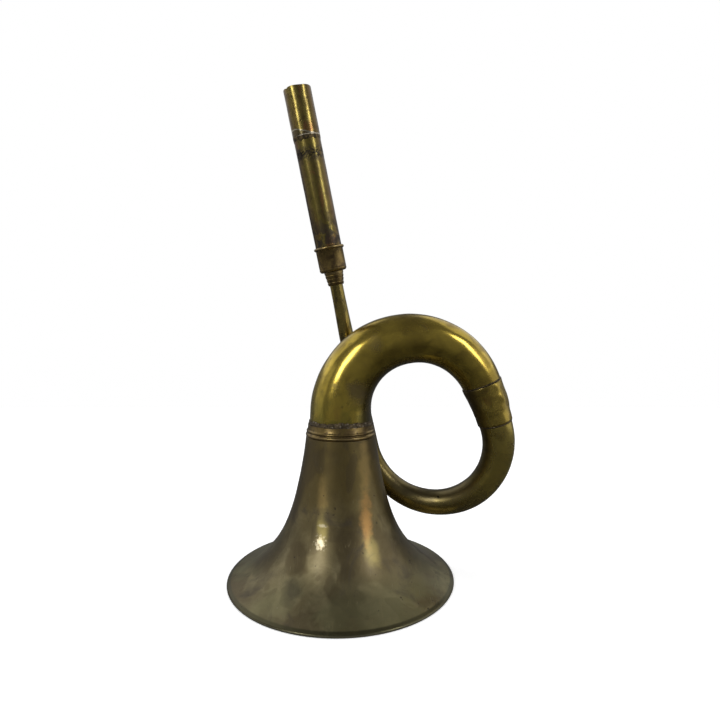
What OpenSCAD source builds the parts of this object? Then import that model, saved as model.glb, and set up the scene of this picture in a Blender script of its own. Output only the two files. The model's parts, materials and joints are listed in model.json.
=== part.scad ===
// Single-coil brass reed horn standing on its bell.
// The air path runs from the open end sleeve, down the barrel, through the reed and the cup,
// down the lead pipe, once round the coil and out of the bell.
// The origin is the centre of the bell mouth, on the plane that the worn rim rests on.

/* [Bell] */
// Outer diameter of the rolled bell rim
bell_d = 160; // [150:1:170]
// Height of the bell sheet from the resting plane to its throat
bell_h = 101.5; // [96:0.5:105]
// Outer diameter of the bell sheet at its throat
throat_d = 49; // [48:0.5:52]
// Flare constant: a smaller length gives a flatter, more open mouth
flare_len = 18.2; // [14:0.2:24]
// Thickness of the bell sheet
sheet = 0.55; // [0.45:0.05:0.7]
// Outer diameter of the bead rolled round the rim wire
bead_d = 2.3; // [2.1:0.1:3]
// Depth worn off the underside of the bead by standing on it
worn = 0.12; // [0.08:0.01:0.2]

/* [Coil] */
// Wall thickness of the bent tubes
tube_wall = 0.8; // [0.6:0.05:1.2]
// Centre-line radius of the main bend
main_bend_r = 51.5; // [48:0.5:56]
// Height at which the main bend leaves the vertical
bend_base_z = 118.5; // [114:0.5:124]
// Angle of the main bend that is left unturned, measured from the horizontal
bend_left = 21.6; // [14:0.2:30]
// Outer diameter of the main bend at the throat
main_big_d = 45; // [44:0.2:45.4]
// Outer diameter of the main bend at its small end
main_small_d = 27.5; // [26:0.1:29]
// Length of the joint between the main bend and the tail pipe
joint_len = 22; // [18:0.5:26]
// Outer diameter of the tail pipe at its large end
tail_big_d = 23.6; // [22:0.1:25]
// Outer diameter of the lead pipe at its top
lead_d = 9.7; // [9.5:0.05:9.8]
// Straight length between the joint and the lower curve
tail_straight = 9.4; // [8:0.2:14]
// Centre-line radius of the lower curve on the outer side
tail_outer_r = 51.6; // [48:0.2:54]
// Turn of the lower curve on the outer side
tail_outer_turn = 77.2; // [70:0.2:84]
// Turn between the joint's line and the lead pipe's line
tail_start_turn = 5.8; // [3:0.2:9]

/* [Lead pipe] */
// Lean of the lead pipe and barrel to the left
lean_left = 11.14; // [8:0.02:14]
// Lean of the lead pipe and barrel towards the front
lean_front = 5.6; // [3:0.1:9]
// Sideways place of the lead pipe's line at the reference height
lead_x = 3.7; // [0:0.1:8]
// Depth of the lead pipe's line behind the main bend at the reference height
lead_y = 27.8; // [27:0.1:34]
// Reference height of the lead pipe's line
lead_z = 170; // [165:0.5:175]
// Length of the lead pipe above the reference height
lead_len = 40; // [34:0.5:46]

/* [Mouth tube] */
// Length of the ringed nipple
nipple_len = 10; // [8:0.5:13]
// Outer diameter of the nipple at its narrow foot
nipple_small_d = 11.5; // [11.3:0.1:12.5]
// Outer diameter of the nipple under the cup
nipple_big_d = 14.4; // [13.5:0.1:16]
// Length of the reed cup
cup_len = 18.4; // [17:0.2:22]
// Outer diameter of the reed cup
cup_d = 20; // [19.6:0.1:21]
// Outer diameter of the bead at the cup's lip
cup_lip_d = 22.2; // [21.4:0.1:24]
// Outer diameter of the barrel, a 3/4 inch tube
barrel_d = 19.1; // [18.9:0.05:19.3]
// Bore of the barrel and the reed cup
barrel_bore_d = 17.6; // [17.5:0.05:17.7]
// Length of the barrel from the cup to the seam
barrel_len = 77.9; // [70:0.5:90]
// Length of the end sleeve
end_len = 32.5; // [28:0.5:40]
// Outer diameter of the end sleeve
end_d = 19.6; // [19.5:0.05:20]
// Bore of the open mouth
mouth_bore_d = 18.2; // [18.1:0.05:18.4]

/* [Reed] */
// Length of the reed trough above its collar
trough_len = 38; // [34:0.5:44]
// Outer diameter of the reed trough
trough_d = 8.4; // [8:0.1:9]
// Lift of the tongue's free end off the trough at rest, in degrees
tongue_lift = 2; // [1.8:0.1:2.6]
// Thickness of the reed tongue
tongue_t = 0.25; // [0.2:0.01:0.3]

/* [Hidden] */
$fn = 96;

// Clearances
fit = 0.05;         // radial clearance of a soldered or sliding fit
seat = 0.1;         // gap between faces that rest on each other across a joint

// Bell and its rim
bead_r = bead_d / 2;
wire_r = bead_r - sheet - fit;
bead_at = [bell_d / 2 - bead_r, bead_r - worn];
flat_angle = acos(bead_at[1] / bead_r);
curl_end = -210;    // the curl stops short of touching the inside of the sheet
mouth_slope = -2.7; // slope of the sheet where it runs into the bead
edge_angle = atan2(-mouth_slope, 1);
edge = bead_at + bead_r * [cos(edge_angle), sin(edge_angle)];
flare_exp = ln(2 * edge[0] / throat_d) / ln((bell_h - edge[1] + flare_len) / flare_len);
bell_steps = 26;

// Throat ferrule, with heights from the top of the bell
spigot_len = 4;     // depth of the ferrule and the main bend in the bell's throat
collar_len = 8.6;   // height of the collar above the bell
collar_seat = 5.4;  // height of the plain band behind the two beads
lower_bead = [throat_d / 2 - 1, 1.4];
lower_bead_r = 1.3;
upper_bead = [throat_d / 2 - 1.5, 4];
upper_bead_r = 1.2;
cone_r = [throat_d / 2 - 1.2, throat_d / 2 - 1.5];
throat_run = 2.8;   // height of the solder run on top of the collar

// Coil
sides = 32;         // facets round a bent tube
bend_steps = 26;
joint_steps = 8;
lap = 2;            // steps of the joint that each tube reaches into
main_r = main_big_d / 2;
small_r = main_small_d / 2;
tail_r = tail_big_d / 2;
lead_r = lead_d / 2;
sleeve_t = 0.6;     // wall of the joint sleeve at its large end
sleeve_thin = 0.2;  // how much thinner the sleeve's wall is at its small end
solder_run = 1.6;   // width of the solder rings at the joint
solder_gap = 0.4;   // gap between the upper ring and the sleeve

bend_end = [main_bend_r * (1 + cos(bend_left)), 0, bend_base_z + main_bend_r * sin(bend_left)];
bend_dir = [sin(bend_left), 0, -cos(bend_left)];
tail_start = bend_end + joint_len * bend_dir;

// The tail pipe and the lead pipe lie in one plane, with axes across and lead_dir
lead_at = [lead_x, lead_y, lead_z];
lead_dir = unit([-tan(lean_left), -tan(lean_front), 1]);
plane_normal = unit(cross(lead_dir, tail_start - lead_at));
across = cross(plane_normal, lead_dir);
start_w = (tail_start - lead_at) * across;
start_v = (tail_start - lead_at) * lead_dir;

// Stations along the lead line, from the reference height
s_nipple = lead_len;
s_cup = s_nipple + nipple_len;
s_barrel = s_cup + cup_len;
s_seam = s_barrel + barrel_len + seat;
s_end = s_seam + end_len;
lead_in = 6;        // depth of the lead pipe in the nipple
cup_floor = 1.8;
cup_foot_r = 2;     // rounding of the cup's foot
stub_up = 2.7;      // height of the nipple's stub above the cup floor
s_stub = s_cup + cup_floor + stub_up;
stub_r = 4.85;
grooves = [2.4, 5, 7.6]; // heights of the nipple's rings
groove_r = 0.5;
groove_out = 0.2;   // how far outside the nipple the groove's centre lies
bore_r = barrel_bore_d / 2;
inner_r = bore_r - fit;
tenon_wall = 0.65;
tenon_half = 12;
coupling_half = 8;

// Reed, with its own z along the lead line and y towards the tongue
foot_r = 3.55;
foot_len = 6;
collar_r = 6;
collar_t = 3;
s_collar = s_stub + seat;
s_trough = s_collar + collar_t;
s_reed_top = s_trough + trough_len;
face_y = 1.5;       // flat face of the trough
channel_r = 2.9;
air_r = 2.2;        // air hole through the foot and the collar
block_len = 7.5;    // solid head of the trough that carries the clamp
s_root = s_reed_top - block_len + 1;
root_len = 3;
tongue_w = 6.4;
tongue_len = 28;
root_gap = 0.1;
clamp_t = 0.85;
screw_x = 1.9;
screw_s = s_reed_top - 1.9;
screw_r = 0.75;
head_r = 1.35;
head_t = 0.9;
slot_w = 0.4;
plate_y = face_y + 2 * root_gap + tongue_t; // underside of the clamp over the tongue

function unit(v) = v / norm(v);

// Outer radius of the bell sheet at height z, and its slope there
function bell_r(z) = edge[0] * pow((z - edge[1] + flare_len) / flare_len, -flare_exp);
function bell_slope(z) = -flare_exp * bell_r(z) / (z - edge[1] + flare_len);
function bell_point(z, depth) =
    let (k = bell_slope(z), n = [1, -k] / sqrt(1 + k * k))
    [bell_r(z), z] - depth * n;
function arc2(at, r, a, b, n) =
    [for (i = [0:n]) let (t = a + (b - a) * i / n) at + r * [cos(t), sin(t)]];

// Distance run along a path at each of its points
function steps_of(path) = [for (i = [1:len(path) - 1]) norm(path[i] - path[i - 1])];
function run_of(path) =
    let (d = steps_of(path))
    [for (i = 0, s = 0; i < len(path); s = s + (i < len(d) ? d[i] : 0), i = i + 1) s];
function heading(path, i) = unit(path[min(i + 1, len(path) - 1)] - path[max(i - 1, 0)]);

// Outer radius of the nipple at height z above its foot
function nipple_r(z) = (nipple_small_d + (nipple_big_d - nipple_small_d) * z / nipple_len) / 2;

// Ring of points round a path's point i, square to the path
function ring(path, i, r, ref) =
    let (t = heading(path, i), a = unit(ref - (ref * t) * t), b = cross(t, a))
    [for (k = [0:sides - 1]) path[i] + r * (cos(360 * k / sides) * a + sin(360 * k / sides) * b)];

// Two triangles for each facet between two rings that start at points p and q
function band(p, q) =
    [for (k = [0:sides - 1]) let (m = (k + 1) % sides) each [[p + k, q + k, q + m], [p + k, q + m, p + m]]];

// Centre line of the main bend
main_path = concat(
    [[0, 0, bell_h - spigot_len], [0, 0, bell_h + 3]],
    [for (i = [0:bend_steps]) let (a = 180 - (180 - bend_left) * i / bend_steps)
        [main_bend_r * (1 + cos(a)), 0, bend_base_z + main_bend_r * sin(a)]]);

// Centre line of the tail, as [across, along] in its plane: a straight, two arcs and a straight
function swing(at, a, r, turn, n) =
    let (c = at + r * [sin(a), -cos(a)])
    [for (i = [1:n]) let (b = a - turn * i / n) c + r * [-sin(b), cos(b)]];
start_a = -90 + tail_start_turn;
tail_a = [start_w, start_v];
tail_b = tail_a + tail_straight * [cos(start_a), sin(start_a)];
outer_arc = swing(tail_b, start_a, tail_outer_r, tail_outer_turn, 12);
mid_a = start_a - tail_outer_turn;
tail_c = outer_arc[11];
inner_r2 = tail_c[0] / (1 - sin(mid_a));
inner_arc = swing(tail_c, mid_a, inner_r2, 270 + mid_a, 18);
tail_d = inner_arc[17];
tail_flat = concat([tail_a, tail_b - 3 * [cos(start_a), sin(start_a)], tail_b], outer_arc, inner_arc,
                   [[0, (tail_d[1] + lead_len) / 2], [0, lead_len - 10], [0, lead_len + lead_in - 0.2]]);
tail_path = [for (p = tail_flat) lead_at + p[0] * across + p[1] * lead_dir];
tail_dir = unit(tail_path[1] - tail_path[0]);

// Centre line of the joint: a cubic that leaves and meets the two tubes along their own directions
joint_path = [for (i = [0:joint_steps]) let (t = i / joint_steps)
    (2 * t * t * t - 3 * t * t + 1) * bend_end + (t * t * t - 2 * t * t + t) * joint_len * bend_dir
    + (3 * t * t - 2 * t * t * t) * tail_start + (t * t * t - t * t) * joint_len * tail_dir];

// Outer radii along the three centre lines
main_run = run_of(main_path);
main_len = main_run[len(main_run) - 1];
function main_radius(i) = main_r + (small_r - main_r) * max(0, main_run[i] - spigot_len) / (main_len - spigot_len);
tail_run = run_of(tail_path);
taper_len = tail_run[len(tail_run) - 3];
function tail_radius(i) = tail_r + (lead_r - tail_r) * min(1, tail_run[i] / taper_len);
function joint_radius(i) = small_r + (tail_r - small_r) * i / joint_steps;

// Round tube along a path, with its outer and inner radius at each point
module swept_tube(path, outer, inner, ref) {
    n = len(path);
    rings = concat([for (i = [0:n - 1]) ring(path, i, outer[i], ref)],
                   [for (i = [0:n - 1]) ring(path, i, inner[i], ref)]);
    polyhedron([for (r = rings) each r],
               [for (f = concat([for (i = [0:n - 2]) each band(i * sides, (i + 1) * sides)],
                                [for (i = [n:2 * n - 2]) each band((i + 1) * sides, i * sides)],
                                band(n * sides, 0),
                                band((n - 1) * sides, (2 * n - 1) * sides))) f],
               convexity = 6);
}

// Places children at station s of the lead line, with +Z along it
module on_lead(s) {
    translate(lead_at + s * lead_dir)
        rotate([0, acos(lead_dir[2]), atan2(lead_dir[1], lead_dir[0])]) children();
}

module pipe_ring(outer, inner, length) {
    difference() {
        cylinder(r = outer, h = length);
        translate([0, 0, -1]) cylinder(r = inner, h = length + 2);
    }
}

// Flared sheet, rolled outwards and under round the rim wire, and worn flat where it stands
module bell() {
    zs = [for (i = [0:bell_steps]) edge[1] + (bell_h - edge[1]) * pow(i / bell_steps, 1.8)];
    outline = concat(
        [for (i = [bell_steps:-1:1]) bell_point(zs[i], 0)],
        arc2(bead_at, bead_r, edge_angle, -90 + flat_angle, 8),
        arc2(bead_at, bead_r, -90 - flat_angle, curl_end, 6),
        arc2(bead_at, bead_r - sheet, curl_end, edge_angle, 16),
        [for (i = [1:bell_steps]) bell_point(zs[i], sheet)]);
    color([0.50, 0.43, 0.30]) rotate_extrude($fn = 160) polygon(outline);
}

module rim_wire() {
    color([0.40, 0.38, 0.36]) rotate_extrude($fn = 160) translate(bead_at) circle(r = wire_r, $fn = 24);
}

// Turned collar with two beads: its spigot drops into the bell and its bore takes the main bend
module throat_ferrule() {
    spigot_r = bell_point(bell_h, sheet)[0] - fit;
    color([0.42, 0.33, 0.20]) translate([0, 0, bell_h]) rotate_extrude() difference() {
        union() {
            translate([0, -spigot_len]) square([spigot_r, spigot_len + collar_seat / 2]);
            translate([0, fit]) square([lower_bead[0] + 0.1, collar_seat]);
            translate(lower_bead) circle(r = lower_bead_r, $fn = 32);
            translate(upper_bead) circle(r = upper_bead_r, $fn = 32);
            polygon([[0, upper_bead[1]], [cone_r[0], upper_bead[1]],
                     [cone_r[1], collar_len], [0, collar_len]]);
        }
        translate([0, -spigot_len - 1]) square([main_r + fit, spigot_len + collar_len + 2]);
    }
}

// Solder run that fills the corner between the collar and the main bend
module throat_solder() {
    inner = main_r - 0.4;
    color([0.28, 0.24, 0.18]) translate([0, 0, bell_h + collar_len + seat]) rotate_extrude()
        polygon([[inner, 0], [inner + 0.95, 0], [inner + 0.6, 1.6], [inner, throat_run]]);
}

module main_bend() {
    path = concat(main_path, [for (i = [1:lap]) joint_path[i]]);
    n = len(main_path);
    outer = [for (i = [0:len(path) - 1]) i < n ? main_radius(i) : joint_radius(i - n + 1)];
    color([0.62, 0.50, 0.26]) swept_tube(path, outer, [for (r = outer) r - tube_wall], [0, 1, 0]);
}

// Tapered sleeve slipped over both tube ends
module joint_sleeve() {
    path = concat(joint_path, [tail_path[1]]);
    bore = concat([for (i = [0:joint_steps]) joint_radius(i) + 0.08], [tail_radius(1) + 0.14]);
    wall = [for (i = [0:joint_steps + 1]) sleeve_t - sleeve_thin * i / joint_steps];
    color([0.45, 0.37, 0.22]) swept_tube(path, bore + wall, bore, [0, 1, 0]);
}

// Solder run round both ends of the joint sleeve
module joint_solder() {
    top = [bend_end - (solder_run + solder_gap) * bend_dir, bend_end - solder_gap * bend_dir];
    foot = [tail_path[1] + seat * tail_dir, tail_path[1] + solder_run * tail_dir];
    top_bore = small_r + 0.35;
    foot_bore = tail_r + seat;
    color([0.28, 0.24, 0.18]) {
        swept_tube(top, [top_bore + 0.15, small_r + sleeve_t], [top_bore, top_bore], [0, 1, 0]);
        swept_tube(foot, [foot_bore + 0.25, foot_bore + 0.1], [foot_bore, foot_bore], [0, 1, 0]);
    }
}

// Tail pipe and lead pipe, drawn and bent as one tapered tube
module tail_pipe() {
    path = concat([for (i = [joint_steps - lap:joint_steps - 1]) joint_path[i]], tail_path);
    outer = concat([for (i = [joint_steps - lap:joint_steps - 1]) joint_radius(i)],
                   [for (i = [0:len(tail_path) - 1]) tail_radius(i)]);
    color([0.40, 0.34, 0.20]) swept_tube(path, outer, [for (r = outer) r - tube_wall], [0, 1, 0]);
}

// Turned and ringed nipple: the lead pipe enters below, a stub passes through the cup floor above
module nipple() {
    color([0.42, 0.35, 0.22]) on_lead(s_nipple) difference() {
        union() {
            cylinder(d1 = nipple_small_d, d2 = nipple_big_d, h = nipple_len - fit);
            cylinder(r = stub_r, h = s_stub - s_nipple);
        }
        translate([0, 0, -1]) cylinder(r = lead_r + fit, h = lead_in + 1);
        cylinder(r = foot_r + fit, h = s_stub - s_nipple + 1);
        for (z = grooves) translate([0, 0, z]) rotate_extrude()
            translate([nipple_r(z) + groove_out, 0]) circle(r = groove_r, $fn = 24);
    }
}

// Drawn cup with a rounded foot and a beaded lip: it holds the reed and takes the tenon
module reed_cup() {
    bead = (cup_lip_d - cup_d) / 2;
    color([0.40, 0.33, 0.22]) on_lead(s_cup) rotate_extrude() difference() {
        union() {
            translate([0, cup_foot_r]) square([cup_d / 2, cup_len - cup_foot_r]);
            square([cup_d / 2 - cup_foot_r, cup_foot_r + 1]);
            translate([cup_d / 2 - cup_foot_r, cup_foot_r]) circle(r = cup_foot_r, $fn = 32);
            translate([cup_d / 2, cup_len - bead]) circle(r = bead, $fn = 32);
        }
        translate([0, cup_floor]) square([bore_r, cup_len]);
        translate([0, -1]) square([stub_r + fit, cup_len]);
    }
}

module barrel() {
    color([0.58, 0.45, 0.24]) on_lead(s_barrel + seat) pipe_ring(barrel_d / 2, bore_r, barrel_len);
}

// Inner sleeve soldered in the barrel: its lower half pushes into the reed cup
module tenon() {
    color([0.60, 0.50, 0.30]) on_lead(s_barrel - tenon_half)
        pipe_ring(inner_r, inner_r - tenon_wall, 2 * tenon_half);
}

// Open end of the horn: the bore that a squeeze bulb or blowing mouthpiece plugs into
module end_sleeve() {
    color([0.66, 0.52, 0.26]) on_lead(s_seam + fit) difference() {
        cylinder(d = end_d, h = end_len);
        translate([0, 0, -1]) cylinder(r = bore_r, h = coupling_half + 1.1);
        translate([0, 0, coupling_half + 0.1]) cylinder(d = mouth_bore_d, h = end_len);
    }
}

module seam_coupling() {
    color([0.60, 0.50, 0.30]) on_lead(s_seam - coupling_half)
        pipe_ring(inner_r, inner_r - tenon_wall, 2 * coupling_half);
}

module seam_solder() {
    r = barrel_d / 2 + 0.03;
    color([0.26, 0.22, 0.17]) on_lead(s_seam - 1.7) rotate_extrude()
        polygon([[r, 0], [r + 0.1, 0.2], [end_d / 2, 1.7], [r, 1.7]]);
}

// Foot, collar and half-round trough of the reed, with a solid head for the clamp
module reed_block() {
    foot_s = s_stub - foot_len;
    color([0.70, 0.56, 0.28]) on_lead(foot_s) difference() {
        union() {
            cylinder(r = foot_r, h = s_trough - foot_s);
            translate([0, 0, s_collar - foot_s]) cylinder(r = collar_r, h = collar_t);
            translate([0, 0, s_trough - foot_s - 1]) cylinder(d = trough_d, h = trough_len + 1);
        }
        translate([-trough_d, face_y, s_trough - foot_s]) cube([2 * trough_d, trough_d, trough_len + 1]);
        translate([0, 0, -1]) cylinder(r = air_r, h = s_trough - foot_s + 2);
        translate([0, 0, s_trough - foot_s]) cylinder(r = channel_r, h = trough_len - block_len);
        for (x = [-screw_x, screw_x]) translate([x, -1, screw_s - foot_s])
            rotate([-90, 0, 0]) cylinder(r = screw_r + fit, h = 5);
    }
}

// Thin spring tongue, lifted off the trough towards its free lower end
module reed_tongue() {
    y = face_y + root_gap;
    tip = tongue_len * tan(tongue_lift);
    color([0.78, 0.62, 0.32]) on_lead(s_root) translate([-tongue_w / 2, 0, 0])
        rotate([90, 0, 90]) linear_extrude(tongue_w)
            polygon([[y, root_len], [y, 0], [y + tip, -tongue_len], [y + tip + tongue_t, -tongue_len],
                     [y + tongue_t, 0], [y + tongue_t, root_len]]);
}

// Small plate with a step that grips the tongue's root
module tongue_clamp() {
    top_y = plate_y + clamp_t;
    color([0.60, 0.48, 0.26]) on_lead(s_root) difference() {
        translate([-tongue_w / 2, face_y, 0.3]) cube([tongue_w, top_y - face_y, block_len - 1.8]);
        translate([-tongue_w, face_y - 1, -1]) cube([2 * tongue_w, plate_y - face_y + 1, root_len + 1.2]);
        for (x = [-screw_x, screw_x]) translate([x, 0, screw_s - s_root])
            rotate([-90, 0, 0]) cylinder(r = screw_r + fit, h = 2 * top_y);
    }
}

// Two slotted screws through the clamp into the head of the trough
module clamp_screws() {
    head_y = plate_y + clamp_t;
    color([0.55, 0.50, 0.42]) on_lead(screw_s) for (x = [-screw_x, screw_x]) translate([x, 0, 0])
        rotate([-90, 0, 0]) difference() {
            union() {
                translate([0, 0, -0.6]) cylinder(r = screw_r, h = head_y + 0.6);
                translate([0, 0, head_y]) cylinder(r = head_r, h = head_t);
            }
            translate([-2 * head_r, -slot_w / 2, head_y + head_t / 2]) cube([4 * head_r, slot_w, head_t]);
        }
}

bell();
rim_wire();
throat_ferrule();
throat_solder();
main_bend();
joint_sleeve();
joint_solder();
tail_pipe();
nipple();
reed_cup();
barrel();
tenon();
end_sleeve();
seam_coupling();
seam_solder();
reed_block();
reed_tongue();
tongue_clamp();
clamp_screws();
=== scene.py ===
# A single-coil brass reed horn that stands on its bell, old and handled. Everything is in metres.
import json
import math

import bmesh
import bpy
from mathutils import Matrix, Vector, noise


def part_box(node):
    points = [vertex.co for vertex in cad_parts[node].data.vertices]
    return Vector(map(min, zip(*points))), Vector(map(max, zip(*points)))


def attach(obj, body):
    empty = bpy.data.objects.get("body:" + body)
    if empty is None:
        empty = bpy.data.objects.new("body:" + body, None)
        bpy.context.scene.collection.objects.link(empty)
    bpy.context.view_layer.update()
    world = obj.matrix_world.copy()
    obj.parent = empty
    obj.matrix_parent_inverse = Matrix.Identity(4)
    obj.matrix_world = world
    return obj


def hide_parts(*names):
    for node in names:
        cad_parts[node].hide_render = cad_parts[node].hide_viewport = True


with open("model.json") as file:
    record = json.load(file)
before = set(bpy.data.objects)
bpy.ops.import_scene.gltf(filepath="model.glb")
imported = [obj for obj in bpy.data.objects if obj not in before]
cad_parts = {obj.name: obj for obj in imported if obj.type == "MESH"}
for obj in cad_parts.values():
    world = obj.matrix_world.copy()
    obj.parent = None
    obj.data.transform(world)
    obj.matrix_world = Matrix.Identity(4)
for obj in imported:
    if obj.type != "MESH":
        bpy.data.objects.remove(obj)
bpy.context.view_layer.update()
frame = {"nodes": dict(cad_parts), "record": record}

MM = 0.001

# ----------------------------------------
# Bell. Thin sheet brass, spun to a flare over a wooden former. Its edge is rolled outwards and
# under round a steel wire, and the underside of the roll is worn flat from standing on tables.
# ----------------------------------------


class Term:
    """A shader socket that adds its own Math nodes when it is part of an expression."""

    def __init__(self, finish, socket):
        self.finish = finish
        self.socket = socket

    def reckon(self, operation, *values, clamp=False):
        settings = {"operation": operation, "use_clamp": clamp}
        return self.finish.node("Math", dict(enumerate(values)), **settings)

    def __add__(self, other):
        return self.reckon("ADD", self, other)

    def __sub__(self, other):
        return self.reckon("SUBTRACT", self, other)

    def __rsub__(self, other):
        return self.reckon("SUBTRACT", other, self)

    def __mul__(self, other):
        return self.reckon("MULTIPLY", self, other)

    __radd__ = __add__
    __rmul__ = __mul__

    def held(self):
        return self.reckon("ADD", self, 0.0, clamp=True)

    def between(self, low, high):
        """Rises smoothly from 0 at low to 1 at high."""
        sockets = {0: self, 1: low, 2: high, 3: 0.0, 4: 1.0}
        return self.finish.node("MapRange", sockets, interpolation_type="SMOOTHSTEP")


class Finish:
    """A metal's surface, as a node material: node() adds any node, the rest are patterns made with it."""

    def __init__(self, name, layout):
        self.material = bpy.data.materials.new(name)
        self.material.use_nodes = True
        self.tree = self.material.node_tree
        self.shader = self.tree.nodes["Principled BSDF"]
        if layout == "object":
            self.place = self.node("TexCoord", out="Object")
        else:
            self.place = self.node("Attribute", out="Vector", attribute_name=layout)

    def node(self, kind, sockets=None, out=0, stops=None, **settings):
        """Adds one node: settings and a ramp's stops first, then its sockets' values or links."""
        made = self.tree.nodes.new("ShaderNode" + kind)
        for name, value in settings.items():
            setattr(made, name, value)
        if stops:
            ramp = made.color_ramp
            while len(ramp.elements) < len(stops):
                ramp.elements.new(1.0)
            for element, (at, colour) in zip(ramp.elements, stops):
                element.position = at
                element.color = (*colour, 1.0)
        for name, value in (sockets or {}).items():
            self.feed(made.inputs[name], value)
        return Term(self, made.outputs[out])

    def feed(self, socket, value):
        if isinstance(value, Term):
            self.tree.links.new(value.socket, socket)
        elif isinstance(value, tuple) and len(value) == 3 and socket.type == "RGBA":
            socket.default_value = (*value, 1.0)
        else:
            socket.default_value = value

    def along(self, axis):
        return self.node("SeparateXYZ", {0: self.place}, out=axis)

    def stretched(self, scale, turn=(0, 0, 0), shift=(0, 0, 0)):
        sockets = {"Vector": self.place, "Location": shift, "Rotation": turn, "Scale": scale}
        return self.node("Mapping", sockets)

    def clouds(self, scale, detail=5.0, rough=0.55, warp=0.0, at=None):
        sockets = {"Vector": at or self.place, "Scale": scale, "Detail": detail, "Roughness": rough}
        return self.node("TexNoise", {**sockets, "Distortion": warp}, noise_dimensions="3D")

    def patch(self, centre, reach, ragged=0.0, grain=120.0):
        """1 in the middle of a patch and 0 past its reach, with a ragged edge."""
        shift = self.node("VectorMath", {0: self.place, 1: centre}, operation="SUBTRACT")
        scaled = self.node("VectorMath", {0: shift, 1: reach}, operation="DIVIDE")
        away = self.node("VectorMath", {0: scaled}, out="Value", operation="LENGTH")
        edge = (self.clouds(grain, 4.0) - 0.5) * ragged
        return 1.0 - (away + edge).between(0.25, 1.0)

    def mixed(self, share, first, second):
        return self.node("Mix", {0: share, 6: first, 7: second}, out=2, data_type="RGBA")

    def scratches(self, scale, width, turn):
        """Fine straight marks: the thin zero lines of a noise that is stretched along one way."""
        at = self.stretched((scale, scale * 0.04, scale * 0.04), turn)
        line = self.from_middle(self.clouds(1.0, 1.5, 0.4, at=at))
        broken = self.clouds(90.0, 2.0).between(0.52, 0.64)
        return (1.0 - line.between(0.0, width)) * broken

    def size(self, value):
        return self.node("Math", {0: value}, operation="ABSOLUTE")

    def from_middle(self, value):
        return self.size(value - 0.5)

    def surface(self, colour, roughness, metallic, height, depth, coat=0.0):
        """Joins the patterns to the shader: depth is what a height of 1 stands out by, in metres."""
        bump = self.node("Bump", {"Height": height, "Strength": 1.0, "Distance": depth})
        sockets = {"Base Color": colour, "Roughness": roughness, "Metallic": metallic, "Normal": bump}
        sockets |= {"Coat Weight": coat, "Coat Roughness": 0.22}
        for name, value in sockets.items():
            self.feed(self.shader.inputs[name], value)
        return self.material


def sheet_piece(name, bm, body, node, material, sharp=40.0):
    """Turns a bmesh into a piece that stands for a CAD node and rides on its body."""
    for edge in bm.edges:
        edge.smooth = edge.calc_face_angle(0.0) < math.radians(sharp)
    for face in bm.faces:
        face.smooth = True
    mesh = bpy.data.meshes.new(name)
    bm.to_mesh(mesh)
    bm.free()
    mesh.materials.append(material)
    piece = bpy.data.objects.new(name, mesh)
    bpy.context.scene.collection.objects.link(piece)
    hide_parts(node)
    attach(piece, body)
    return piece


def turned(outline, turns, placing=Matrix.Identity(4)):
    """Spins a closed outline of (radius, height) points round its axis, then puts it in its place."""
    bm = bmesh.new()
    corners = [bm.verts.new((r, 0.0, z)) for r, z in outline]
    for here, after in zip(corners, corners[1:] + corners[:1]):
        bm.edges.new((here, after))
    geom = bm.verts[:] + bm.edges[:]
    whole = 2 * math.pi
    bmesh.ops.spin(bm, geom=geom, axis=(0, 0, 1), cent=(0, 0, 0), angle=whole, steps=turns, use_merge=True)
    bmesh.ops.remove_doubles(bm, verts=bm.verts, dist=1e-7)
    bmesh.ops.recalc_face_normals(bm, faces=bm.faces)
    unbent = bm.verts.layers.float_vector.new("unbent")
    for vert in bm.verts:
        vert[unbent] = vert.co
    bmesh.ops.transform(bm, matrix=placing, verts=bm.verts)
    return bm


def knocked(bm, depth, size, seed, where=None):
    """Leaves shallow dents and swellings, as handling and hammering do."""
    bm.normal_update()
    moves = []
    for vert in bm.verts:
        share = where(vert) if where else 1.0
        moves.append(vert.normal * depth * share * noise.noise(vert.co / size + Vector((seed, seed, seed))))
    for vert, move in zip(bm.verts, moves):
        vert.co += move
    return bm


def arc(centre, radius, start, end, steps):
    """Points of (radius, height) round an arc, with its angles in degrees."""
    turns = [math.radians(start + (end - start) * i / steps) for i in range(steps + 1)]
    return [(centre[0] + radius * math.cos(t), centre[1] + radius * math.sin(t)) for t in turns]


bell_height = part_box("bell")[1].z
rim_radius = 80.0 * MM
throat_radius = 24.5 * MM
sheet = 0.55 * MM
bead = 1.15 * MM
worn = 0.12 * MM
flare = 18.2 * MM
bead_at = (rim_radius - bead, bead - worn)
edge_angle = math.degrees(math.atan2(2.7, 1.0))    # where the flare runs into the rolled edge
edge = arc(bead_at, bead, edge_angle, edge_angle, 1)[0]
flare_power = math.log(edge[0] / throat_radius) / math.log((bell_height - edge[1] + flare) / flare)


def flare_radius(z):
    return edge[0] * ((max(z, edge[1]) - edge[1] + flare) / flare) ** -flare_power


def flare_point(z, depth):
    """Point of the flare at height z, that far under its outer face."""
    slope = -flare_power * flare_radius(z) / (z - edge[1] + flare)
    size = math.hypot(1.0, slope)
    return flare_radius(z) - depth / size, z + depth * slope / size


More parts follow.
